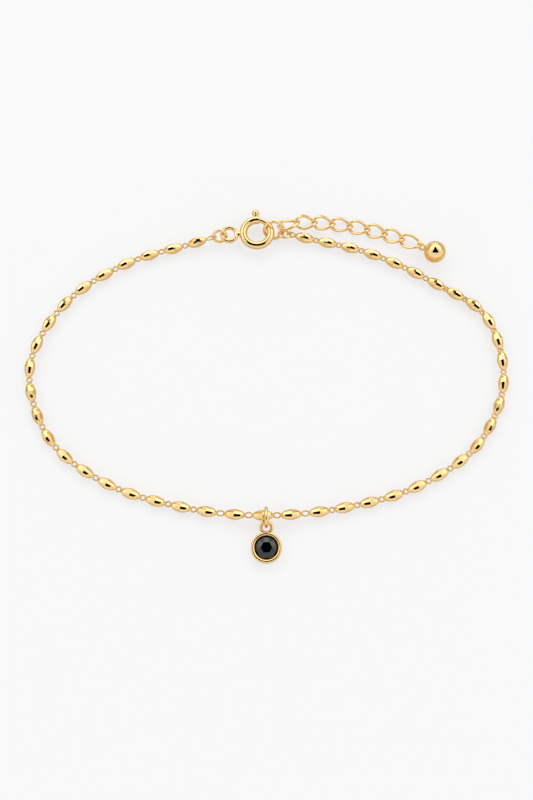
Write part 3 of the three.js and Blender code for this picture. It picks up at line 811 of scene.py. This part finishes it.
    def knob(self, size, reach):
        """The knob and its neck turned about one line: a neck whose radius grows with the fourth power of its
        length, and a ball, (middle + R cos t, R sin t)."""
        ball = size.knob / 2
        middle = size.width / 2 + ball
        join = np.arccos(-(1 - 0.5 * (size.neck / 2 / ball) ** 2) * self.KNOB_JOIN)
        t = np.linspace(join, 0, 26)
        foot = middle + ball * np.cos(join)
        foot_radius = ball * np.sin(join)
        down = np.linspace(0, 1, 8)[:-1]
        neck_x = reach + (foot - reach) * down
        neck_r = size.neck / 2 + (foot_radius - size.neck / 2) * down**4
        body = np.stack([middle + ball * np.cos(t), ball * np.sin(t)], -1)
        profile = np.concatenate([[(reach, 0)], np.stack([neck_x, neck_r], -1), body])
        points, faces = turned_surface(profile, 40)
        return placed(points, CLASP, heading(KNOB_ANGLE))[0], faces


class ANKLET_OT_extender(Operator):
    """Makes the twisted oval links of the extender and the ball at its end"""

    bl_idname = "anklet.extender"
    bl_label = "Extender"

    # How far each link is twisted, where the ball's eye points and how it is rolled, in degrees
    TWISTS = (22, 50, 50, 50, 50, 50, 50, 37)
    BALL_HEADING = -31
    BALL_EYE_ROLL = 71
    # Gap in millimetres between the last link and the ball's eye
    LINK_PLAY = 0.1

    def execute(self, context):
        size = Sizes("anklet_links")
        reach = (size.link_length - size.link_wire) / 2
        half_width = (size.link_width - size.link_wire) / 2
        for count, twist in enumerate(self.TWISTS, 1):
            node = "extender_link_%d" % count
            middle, along, across = self.place(node)
            axes = np.stack([along, across, np.cross(along, across)])
            path = oval(reach, half_width, twist) @ axes + middle
            link = wire_surface(path, size.link_wire / 2)
            make_piece("oval_link_%d" % count, link, finish_of("wire"), "anklet", node)
        make_piece("ball_with_eye", self.ball(size), finish_of("cast"), "anklet", "extender_ball")
        return {"FINISHED"}

    def place(self, node):
        """A link's middle, its direction away from the clasp and the direction across it."""
        middle, axes = node_middle(node)
        along = axes[0] * np.sign(axes[0][0])
        across = axes[1] * np.sign(axes[1][1])
        return middle, along, across

    def ball(self, size):
        """The ball, turned from a half circle, and its eye, which holds the last link."""
        low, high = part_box("extender_ball")
        radius = size.ball / 2
        middle = np.array([high.x / MM - radius, low.y / MM + radius, radius])
        last, along, _ = self.place("extender_link_8")
        hold = size.link_length / 2 - size.link_wire - self.LINK_PLAY - size.ball_eye_wire / 2
        level = heading(self.BALL_HEADING)
        eye = last + along * hold + level * (size.ball_eye - size.ball_eye_wire) / 2
        t = np.linspace(np.pi, 0, 64)
        points, faces = turned_surface(np.stack([radius * np.cos(t), radius * np.sin(t)], -1), 96)
        ring = ring_surface(size.ball_eye, size.ball_eye_wire, 56, 18)
        return together((points + middle, faces), copies(ring, eye, middle - eye, self.BALL_EYE_ROLL))


class ANKLET_OT_charm(Operator):
    """Makes the bezel with its loop, and gives the stone its finish"""

    bl_idname = "anklet.charm"
    bl_label = "Charm"

    # The rim, in millimetres: how far it falls towards the stone, how far outside the cup's inner wall it
    # ends, how far below its top the narrow ledge round the stone begins and ends, and the ledge's width
    LIP_FALL = 0.06
    LIP_SPARE = 0.06
    LEDGE_TOP = 0.25
    LEDGE_FOOT = 0.28
    LEDGE_WIDTH = 0.05
    # The power that rounds the rim
    LIP_POWER = 2.4

    def execute(self, context):
        size = Sizes("anklet_charm")
        ring, _ = node_middle("charm_ring")
        outward = unit((CHARM_BACK - ring) * np.array([1, 1, 0]))
        loop_reach = (size.loop - size.loop_wire) / 2
        loop = CHARM_BACK - outward * (loop_reach + size.bezel / 2 - size.bezel_grip)
        loop[2] = size.loop_height
        points, faces = turned_surface(self.rim(size), 128)
        cup = np.stack([points[..., 1], points[..., 2], points[..., 0]], -1) + CHARM_BACK
        loop_ring = copies(ring_surface(size.loop, size.loop_wire), loop, outward)
        bezel = together((cup, faces), loop_ring)
        make_piece("bezel_with_loop", bezel, finish_of("cast"), "anklet", "charm_setting")
        stone = frame["nodes"]["charm_stone"]
        stone.data.materials.clear()
        stone.data.materials.append(black_stone())
        return {"FINISHED"}

    def rim(self, size):
        """Half of the bezel's section as (height, radius): a flat back, rounded outer edges as quarter
        circles, a rim burnished inwards over the stone, whose height falls with a power of the share of its
        width, a narrow ledge round the stone, and the inside of the cup."""
        outer, edge = size.bezel / 2, size.bezel_edge
        inner, top = outer - size.bezel_wall, size.bezel_height
        t = np.radians(np.linspace(0, 90, 9))
        low = np.stack([edge - edge * np.cos(t), outer - edge + edge * np.sin(t)], -1)
        high = np.stack([top - edge + edge * np.sin(t), outer - edge + edge * np.cos(t)], -1)
        share = np.linspace(0, 1, 12)[1:]
        flat = size.bezel_wall - edge - self.LIP_SPARE
        lip = np.stack([top - self.LIP_FALL * share**self.LIP_POWER, outer - edge - flat * share], -1)
        inside = [
            (top - self.LEDGE_TOP, inner + self.LEDGE_WIDTH),
            (top - self.LEDGE_FOOT, inner),
            (size.bezel_floor, inner),
            (size.bezel_floor, 0),
        ]
        return np.concatenate([[(0, 0)], low, high, lip, inside])


class ANKLET_OT_stage(Operator):
    """Makes the table, the studio light and the camera"""

    bl_idname = "anklet.stage"
    bl_label = "Stage"

    # The black card, on a ceiling at height 1: how far its middle line lies to the left, half its width over
    # the anklet, the most it may grow to, the softness of its edges and its end towards the front
    CARD_OFFSET = 0.06
    CARD_HALF = 0.25
    CARD_WIDEST = 0.68
    CARD_EDGE = 0.03
    CARD_FRONT = -0.6
    # Strengths of light: the boxes and the card from front to back, low in front and low straight behind, and
    # low at the two sides of the back
    BOX_LIGHT = (1.0, 2.9)
    CARD_LIGHT = (0.0, 0.9)
    LOW_LIGHT = (1.05, 1.4)
    SIDE_LIGHT = 0.66
    # Whites of the ceiling and the front, and of the two sides
    COOL_WHITE = 0xF9FBFF
    WARM_WHITE = 0xFFEBB8

    def execute(self, context):
        self.table()
        self.studio()
        self.camera()
        context.scene.view_settings.view_transform = "Standard"
        return {"FINISHED"}

    def table(self):
        """A flat square table top just under the anklet."""
        mesh = bpy.data.meshes.new("table")
        sides = [(-1, -1), (1, -1), (1, 1), (-1, 1)]
        corners = [(x * TABLE_HALF * MM, y * TABLE_HALF * MM, TABLE_LEVEL * MM) for x, y in sides]
        mesh.from_pydata(corners, [], [(0, 1, 2, 3)])
        mesh.materials.append(light_table())
        table = bpy.data.objects.new("table", mesh)
        bpy.context.scene.collection.objects.link(table)

    def studio(self):
        """Soft light from all round, worked out from a direction (x, y, z). The upper part is a level ceiling
        at (x / z, y / z): two soft boxes that grow brighter towards the back, with a black card between them,
        which widens towards the front, and narrows and fades towards the back. The low part is an even white
        in front, brighter straight behind the anklet, and dimmer and warmer at the back's two sides."""
        world = bpy.data.worlds.new("studio")
        world.use_nodes = True
        tree = world.node_tree
        tree.nodes.clear()
        place = add_node(tree, "ShaderNodeTexCoord").outputs["Generated"]
        x, y, z = add_node(tree, "ShaderNodeSeparateXYZ", {"Vector": place}).outputs

        def calc(operation, *values):
            return add_node(tree, "ShaderNodeMath", dict(enumerate(values)), operation=operation).outputs[0]

        def ramp(value, low, high, to_low, to_high):
            made = add_node(
                tree,
                "ShaderNodeMapRange",
                {"Value": value, "From Min": low, "From Max": high, "To Min": to_low, "To Max": to_high},
                interpolation_type="SMOOTHSTEP",
            )
            return made.outputs["Result"]

        def mix(share, first, second):
            return add_node(tree, "ShaderNodeMix", {0: share, 2: first, 3: second}).outputs[0]

        # The place on the ceiling: how far behind the anklet, and how far from the card's middle line
        height = calc("MAXIMUM", z, 0.02)
        back = calc("DIVIDE", y, height)
        aside = calc("ABSOLUTE", calc("ADD", calc("DIVIDE", x, height), self.CARD_OFFSET))
        # Half the card's width, and where the card is
        before = calc("MULTIPLY", calc("MAXIMUM", calc("SUBTRACT", 0.12, back), 0.0), 0.9)
        behind = calc("MULTIPLY", calc("MAXIMUM", calc("SUBTRACT", back, 0.2), 0.0), -0.4)
        width = calc("MINIMUM", calc("ADD", calc("ADD", before, behind), self.CARD_HALF), self.CARD_WIDEST)
        card = calc(
            "MULTIPLY",
            ramp(calc("SUBTRACT", width, aside), -self.CARD_EDGE, self.CARD_EDGE, 0.0, 1.0),
            ramp(back, self.CARD_FRONT - 2 * self.CARD_EDGE, self.CARD_FRONT, 0.0, 1.0),
        )
        # The ceiling's light: the boxes and the card, which both grow brighter towards the back
        box_light = ramp(calc("ADD", back, calc("MULTIPLY", aside, 0.4)), 0.15, 1.7, *self.BOX_LIGHT)
        card_light = ramp(back, 0.45, 1.1, *self.CARD_LIGHT)
        upper = mix(card, box_light, card_light)
        # The low light: straight behind, at the two sides of the back, and elsewhere
        straight = ramp(y, 0.86, 0.96, 0.0, 1.0)
        beside = calc("MULTIPLY", ramp(y, 0.0, 0.3, 0.0, 1.0), calc("SUBTRACT", 1.0, straight))
        low = ramp(beside, 0.0, 1.0, ramp(straight, 0.0, 1.0, *self.LOW_LIGHT), self.SIDE_LIGHT)
        rise = ramp(z, 0.36, 0.6, 0.0, 1.0)
        light = mix(rise, low, upper)
        warmth = calc("MULTIPLY", beside, calc("SUBTRACT", 1.0, rise))
        shades = {0: warmth, 6: linear(self.COOL_WHITE), 7: linear(self.WARM_WHITE)}
        tint = add_node(tree, "ShaderNodeMix", shades, data_type="RGBA").outputs[2]
        shader = add_node(tree, "ShaderNodeBackground", {"Color": tint, "Strength": light})
        add_node(tree, "ShaderNodeOutputWorld", {"Surface": shader.outputs["Background"]})
        bpy.context.scene.world = world

    def camera(self):
        """The camera of the photograph: above the front of the anklet, looking down at it."""
        data = bpy.data.cameras.new("camera")
        data.lens = CAMERA_LENS
        data.sensor_width = CAMERA_SENSOR
        data.clip_start = 0.01
        camera = bpy.data.objects.new("camera", data)
        slope = np.radians(CAMERA_ELEVATION)
        away = np.array([0, -np.cos(slope), np.sin(slope)]) * CAMERA_DISTANCE
        camera.location = (np.array(CAMERA_TARGET) + away) * MM
        camera.rotation_euler = (np.pi / 2 - slope, 0, 0)
        bpy.context.scene.collection.objects.link(camera)
        bpy.context.scene.camera = camera


STEPS = (
    ANKLET_OT_chain,
    ANKLET_OT_rings,
    ANKLET_OT_clasp,
    ANKLET_OT_extender,
    ANKLET_OT_charm,
    ANKLET_OT_stage,
)


class ANKLET_PT_steps(Panel):
    """The anklet's pieces and its stage, each with a button"""

    bl_idname = "ANKLET_PT_steps"
    bl_label = "Charm anklet"
    bl_space_type = "VIEW_3D"
    bl_region_type = "UI"
    bl_category = "Anklet"

    def draw(self, context):
        for step in STEPS:
            self.layout.operator(step.bl_idname)
        for group in GROUPS:
            box = self.layout.box()
            settings = getattr(context.scene, group)
            for name in settings.__annotations__:
                box.prop(settings, name)


def register():
    """Registers the settings, the operators and the panel."""
    for name, group in GROUPS.items():
        bpy.utils.register_class(group)
        setattr(bpy.types.Scene, name, PointerProperty(type=group))
    for made in (*STEPS, ANKLET_PT_steps):
        bpy.utils.register_class(made)


def unregister():
    """Removes the panel, the operators and the settings."""
    for made in (ANKLET_PT_steps, *reversed(STEPS)):
        bpy.utils.unregister_class(made)
    for name, group in GROUPS.items():
        delattr(bpy.types.Scene, name)
        bpy.utils.unregister_class(group)


def main():
    """Makes every piece and the stage."""
    register()
    for step in STEPS:
        family, name = step.bl_idname.split(".")
        getattr(getattr(bpy.ops, family), name)()


if __name__ == "__main__":
    main()
